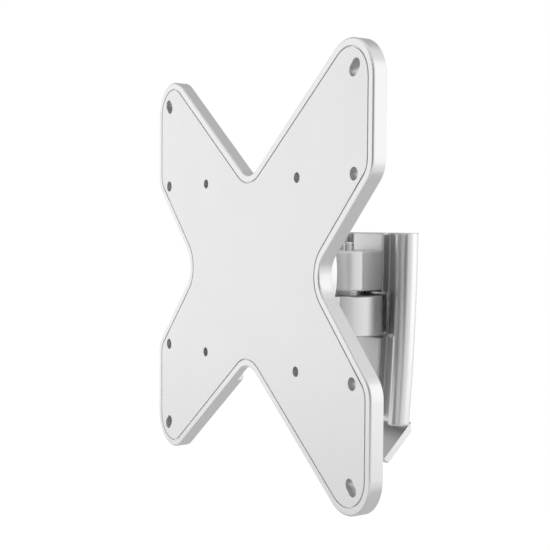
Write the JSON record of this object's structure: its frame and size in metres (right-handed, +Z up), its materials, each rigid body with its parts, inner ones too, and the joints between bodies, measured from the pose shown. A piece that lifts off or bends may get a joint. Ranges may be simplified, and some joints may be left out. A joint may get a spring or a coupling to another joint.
{
  "type": "tilting screen wall bracket",
  "caption": "X-shaped screen plate on a tilting and swivelling arm, hinged to a bowed profile that hangs on a wall plate with a bent lip.",
  "frame": {"origin": "on the wall, at the middle of the wall plate's hole pattern", "axes": "+X right as seen from the room, +Y into the wall, +Z up"},
  "size_m": [0.23, 0.0955, 0.2292],
  "materials": {
    "wall_plate_coat": "satin powder coat",
    "profile_metal": "satin, fine blasted",
    "barrel_metal": "satin, turned",
    "arm_metal": "satin, fine blasted",
    "plate_paint": "pale silver satin coat",
    "panel_paint": "pale silver satin coat",
    "cover_plastic": "pale grey, satin",
    "cheek_steel": "zinc plated",
    "zinc_steel": "zinc plated",
    "bolt_steel": "bright zinc plated",
    "spring_steel": "dark, oiled",
    "dark_nylon": "dark nylon"
  },
  "bodies": {
    "wall": {"wall_plate": "wall_plate_coat", "wall_profile": "profile_metal", "profile_screw": "zinc_steel", "hinge_block": "barrel_metal", "hinge_screws": "zinc_steel", "swivel_bolt": "bolt_steel"},
    "arm": {"swivel_arm": "arm_metal", "swivel_bushes": "dark_nylon", "swivel_springs": "spring_steel", "swivel_washer": "dark_nylon", "tilt_bushes": "dark_nylon", "tilt_washers": "dark_nylon"},
    "head": {"tilt_cheek_right": "cheek_steel", "tilt_cheek_left": "cheek_steel", "foot_screws": "zinc_steel", "tilt_bolt": "bolt_steel", "tilt_nut": "zinc_steel", "tilt_springs": "spring_steel", "tilt_cover": "cover_plastic", "cover_screws": "zinc_steel", "screen_plate": "plate_paint", "front_panel": "panel_paint"}
  },
  "joints": [
    {"name": "swivel", "type": "hinge", "parent": "wall", "child": "arm", "pos_m": [0, -0.027, 0], "axis": [0, 0, 1], "range_deg": [-25, 25]},
    {"name": "tilt", "type": "hinge", "parent": "arm", "child": "head", "pos_m": [0, -0.0755, 0.035], "axis": [1, 0, 0], "range_deg": [-15, 15]}
  ]
}
